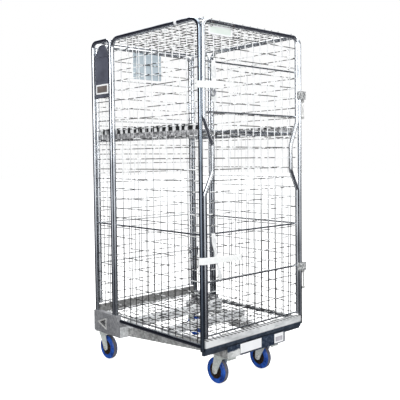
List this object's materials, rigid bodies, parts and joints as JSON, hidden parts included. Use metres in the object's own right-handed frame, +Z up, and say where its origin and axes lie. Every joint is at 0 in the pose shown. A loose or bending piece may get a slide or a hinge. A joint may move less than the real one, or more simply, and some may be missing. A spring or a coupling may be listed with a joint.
{
  "type": "roll cage container",
  "caption": "Tall wire roll cage on swivel casters with an A-shaped nesting chassis, swinging front and rear gates, hinged roof, lifting shelf and lift-up deck",
  "frame": {"origin": "on the floor, under the centre of the bounding box", "axes": "+Z up, -Y towards the nose and front gate, +X to the side with the gate hinges"},
  "size_m": [0.756, 0.856, 1.69],
  "materials": {
    "zinc_tube": "bright electroplated zinc, slightly clouded",
    "zinc_wire": "bright zinc on welded wire",
    "galvanised_steel": "matt hot-dip galvanised, faint spangle",
    "zinc_sheet": "bright zinc sheet, scuffed",
    "zinc_fittings": "zinc-plated pins and bolts",
    "zinc_fork": "pale passivated zinc",
    "blue_tyre": "blue elastic rubber with a grey worn tread",
    "dark_hub": "dark moulded nylon",
    "white_webbing": "woven polyester webbing",
    "slate_plastic": "dark blue-grey moulded plastic",
    "white_plastic": "blank white label plastic",
    "pale_board": "pale blue-grey plastic board"
  },
  "bodies": {
    "chassis": {"bracket_bolts": "zinc_fittings", "bracket_left": "galvanised_steel", "bracket_right": "galvanised_steel", "caster_bolts": "zinc_fittings", "caster_plates": "zinc_fork", "chassis_rails": "galvanised_steel", "cross_members": "galvanised_steel", "deck_eyes": "zinc_fittings", "document_pocket": "slate_plastic", "front_bar": "zinc_sheet", "front_hinge_pins": "zinc_fittings", "kick_rail": "galvanised_steel", "nose_beam": "galvanised_steel", "nose_plate": "zinc_sheet", "pocket_window": "white_plastic", "rear_hinge_pins": "zinc_fittings", "roof_fittings": "zinc_fittings", "shelf_ledge_left": "galvanised_steel", "shelf_ledge_right": "galvanised_steel", "side_frame_left": "zinc_tube", "side_frame_right": "zinc_tube", "side_mesh_left": "zinc_wire", "side_mesh_right": "zinc_wire", "wing_frame_left": "zinc_tube", "wing_frame_right": "zinc_tube", "wing_mesh_left": "zinc_wire", "wing_mesh_right": "zinc_wire"},
    "front_gate": {"front_gate_frame": "zinc_tube", "front_gate_mesh": "zinc_wire", "strap_upper": "white_webbing", "strap_lower": "white_webbing", "gate_sign": "white_plastic"},
    "rear_gate": {"rear_gate_frame": "zinc_tube", "rear_gate_mesh": "zinc_wire", "rear_gate_board": "pale_board"},
    "roof": {"roof_frame": "zinc_tube", "roof_mesh": "zinc_wire"},
    "shelf": {"shelf_frame": "zinc_tube", "shelf_mesh": "zinc_wire"},
    "deck": {"deck_frame": "zinc_tube", "deck_mesh": "zinc_wire"},
    "caster_front_left": {"fork_front_left": "zinc_fork", "axle_front_left": "zinc_fittings"},
    "wheel_front_left": {"tyre_front_left": "blue_tyre", "hub_front_left": "dark_hub"},
    "caster_front_right": {"fork_front_right": "zinc_fork", "axle_front_right": "zinc_fittings"},
    "wheel_front_right": {"tyre_front_right": "blue_tyre", "hub_front_right": "dark_hub"},
    "caster_rear_left": {"fork_rear_left": "zinc_fork", "axle_rear_left": "zinc_fittings"},
    "wheel_rear_left": {"tyre_rear_left": "blue_tyre", "hub_rear_left": "dark_hub"},
    "caster_rear_right": {"fork_rear_right": "zinc_fork", "axle_rear_right": "zinc_fittings"},
    "wheel_rear_right": {"tyre_rear_right": "blue_tyre", "hub_rear_right": "dark_hub"},
    "pedal_front_left": {"brake_pedal_front_left": "zinc_fork"},
    "pedal_front_right": {"brake_pedal_front_right": "zinc_fork"}
  },
  "joints": [
    {"name": "front_gate_hinge", "type": "hinge", "parent": "chassis", "child": "front_gate", "pos_m": [0.37, -0.412, 0.9], "axis": [0, 0, 1], "range_deg": [0, 250]},
    {"name": "rear_gate_hinge", "type": "hinge", "parent": "chassis", "child": "rear_gate", "pos_m": [0.37, 0.412, 0.9], "axis": [0, 0, -1], "range_deg": [0, 180]},
    {"name": "roof_hinge", "type": "hinge", "parent": "chassis", "child": "roof", "pos_m": [-0.317, 0, 1.68], "axis": [0, -1, 0], "range_deg": [0, 110]},
    {"name": "shelf_hinge", "type": "hinge", "parent": "chassis", "child": "shelf", "pos_m": [-0.314, 0, 1.19], "axis": [0, -1, 0], "range_deg": [0, 45]},
    {"name": "deck_hinge", "type": "hinge", "parent": "chassis", "child": "deck", "pos_m": [0, -0.384, 0.25], "axis": [1, 0, 0], "range_deg": [0, 85]},
    {"name": "swivel_front_left", "type": "hinge", "parent": "chassis", "child": "caster_front_left", "pos_m": [-0.15, -0.338, 0.142], "axis": [0, 0, 1], "continuous": true},
    {"name": "roll_front_left", "type": "hinge", "parent": "caster_front_left", "child": "wheel_front_left", "pos_m": [-0.15, -0.308, 0.0625], "axis": [1, 0, 0], "continuous": true},
    {"name": "swivel_front_right", "type": "hinge", "parent": "chassis", "child": "caster_front_right", "pos_m": [0.15, -0.338, 0.142], "axis": [0, 0, 1], "continuous": true},
    {"name": "roll_front_right", "type": "hinge", "parent": "caster_front_right", "child": "wheel_front_right", "pos_m": [0.15, -0.308, 0.0625], "axis": [1, 0, 0], "continuous": true},
    {"name": "swivel_rear_left", "type": "hinge", "parent": "chassis", "child": "caster_rear_left", "pos_m": [-0.313, 0.395, 0.142], "axis": [0, 0, 1], "continuous": true},
    {"name": "roll_rear_left", "type": "hinge", "parent": "caster_rear_left", "child": "wheel_rear_left", "pos_m": [-0.313, 0.365, 0.0625], "axis": [1, 0, 0], "continuous": true},
    {"name": "swivel_rear_right", "type": "hinge", "parent": "chassis", "child": "caster_rear_right", "pos_m": [0.313, 0.395, 0.142], "axis": [0, 0, 1], "continuous": true},
    {"name": "roll_rear_right", "type": "hinge", "parent": "caster_rear_right", "child": "wheel_rear_right", "pos_m": [0.313, 0.365, 0.0625], "axis": [1, 0, 0], "continuous": true},
    {"name": "brake_front_left", "type": "hinge", "parent": "caster_front_left", "child": "pedal_front_left", "pos_m": [-0.15, -0.368, 0.1395], "axis": [1, 0, 0], "range_deg": [0, 12]},
    {"name": "brake_front_right", "type": "hinge", "parent": "caster_front_right", "child": "pedal_front_right", "pos_m": [0.15, -0.368, 0.1395], "axis": [1, 0, 0], "range_deg": [0, 12]}
  ]
}
